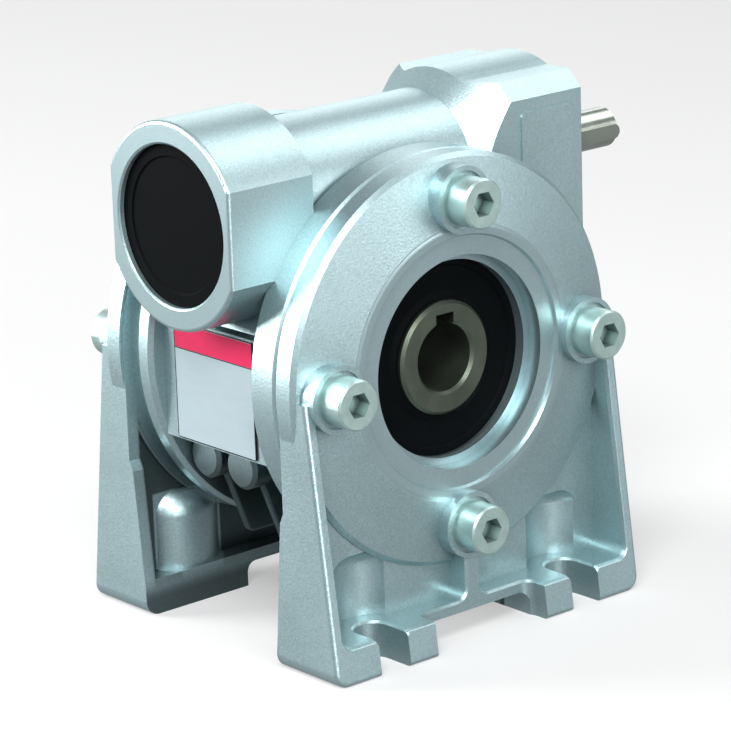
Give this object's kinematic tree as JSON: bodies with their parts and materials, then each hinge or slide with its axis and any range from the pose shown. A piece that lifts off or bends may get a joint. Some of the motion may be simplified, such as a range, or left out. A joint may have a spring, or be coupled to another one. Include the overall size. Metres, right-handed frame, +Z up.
{
  "type": "worm gearbox",
  "caption": "Right-angle worm gearbox with a keyed input shaft, a hollow keyed output bore and foot covers on both sides.",
  "frame": {"origin": "middle of the hollow output shaft's bore, on the plane halfway between the two covers", "axes": "+X along the input shaft towards its free end, Y along the output bore, +Z up from the feet"},
  "size_m": [0.1528, 0.1016, 0.1394],
  "materials": {
    "cast_body": "blasted die casting",
    "zinc_screw": "zinc plated",
    "dark_steel": "turned, lightly oiled",
    "bright_steel": "ground",
    "bearing_steel": "polished",
    "bronze": "machined bronze",
    "black_rubber": "satin rubber",
    "plate": "satin plate with a red band"
  },
  "bodies": {
    "casing": {"housing": "cast_body", "front_foot_cover": "cast_body", "rear_foot_cover": "cast_body", "front_cover_screws": "zinc_screw", "rear_cover_screws": "zinc_screw", "front_cover_ring_seal": "black_rubber", "rear_cover_ring_seal": "black_rubber", "front_shaft_seal": "black_rubber", "rear_shaft_seal": "black_rubber", "front_bearing_outer_ring": "bearing_steel", "rear_bearing_outer_ring": "bearing_steel", "cap_side_bearing_outer_ring": "bearing_steel", "drive_side_bearing_outer_ring": "bearing_steel", "cap_side_bore_circlip": "dark_steel", "drive_side_bore_circlip": "dark_steel", "input_seal": "black_rubber", "worm_end_cap": "black_rubber", "nameplate": "plate"},
    "output_shaft_group": {"hollow_output_shaft": "dark_steel", "worm_wheel": "bronze", "front_bearing_inner_ring": "bearing_steel", "rear_bearing_inner_ring": "bearing_steel"},
    "worm_group": {"worm_shaft": "bright_steel", "input_key": "bright_steel", "worm_shaft_circlip": "dark_steel", "cap_side_bearing_inner_ring": "bearing_steel", "drive_side_bearing_inner_ring": "bearing_steel"},
    "front_ball_group": {"front_bearing_balls": "bearing_steel", "front_bearing_cage": "dark_steel"},
    "rear_ball_group": {"rear_bearing_balls": "bearing_steel", "rear_bearing_cage": "dark_steel"},
    "cap_side_ball_group": {"cap_side_bearing_balls": "bearing_steel", "cap_side_bearing_cage": "dark_steel"},
    "drive_side_ball_group": {"drive_side_bearing_balls": "bearing_steel", "drive_side_bearing_cage": "dark_steel"}
  },
  "joints": [
    {"name": "output_turn", "type": "hinge", "parent": "casing", "child": "output_shaft_group", "pos_m": [0, 0, 0], "axis": [0, 1, 0], "continuous": true},
    {"name": "worm_turn", "type": "hinge", "parent": "casing", "child": "worm_group", "pos_m": [0, 0, 0.04], "axis": [1, 0, 0], "continuous": true},
    {"name": "front_cage_turn", "type": "hinge", "parent": "casing", "child": "front_ball_group", "pos_m": [0, -0.0198, 0], "axis": [0, 1, 0], "continuous": true},
    {"name": "rear_cage_turn", "type": "hinge", "parent": "casing", "child": "rear_ball_group", "pos_m": [0, 0.0198, 0], "axis": [0, 1, 0], "continuous": true},
    {"name": "cap_side_cage_turn", "type": "hinge", "parent": "casing", "child": "cap_side_ball_group", "pos_m": [-0.045, 0, 0.04], "axis": [1, 0, 0], "continuous": true},
    {"name": "drive_side_cage_turn", "type": "hinge", "parent": "casing", "child": "drive_side_ball_group", "pos_m": [0.045, 0, 0.04], "axis": [1, 0, 0], "continuous": true}
  ],
  "couplings": [
    {"joint": "worm_turn", "follows": "output_turn", "ratio": -30},
    {"joint": "front_cage_turn", "follows": "output_turn", "ratio": 0.416},
    {"joint": "rear_cage_turn", "follows": "output_turn", "ratio": 0.416},
    {"joint": "cap_side_cage_turn", "follows": "output_turn", "ratio": -10.822},
    {"joint": "drive_side_cage_turn", "follows": "output_turn", "ratio": -10.822}
  ]
}
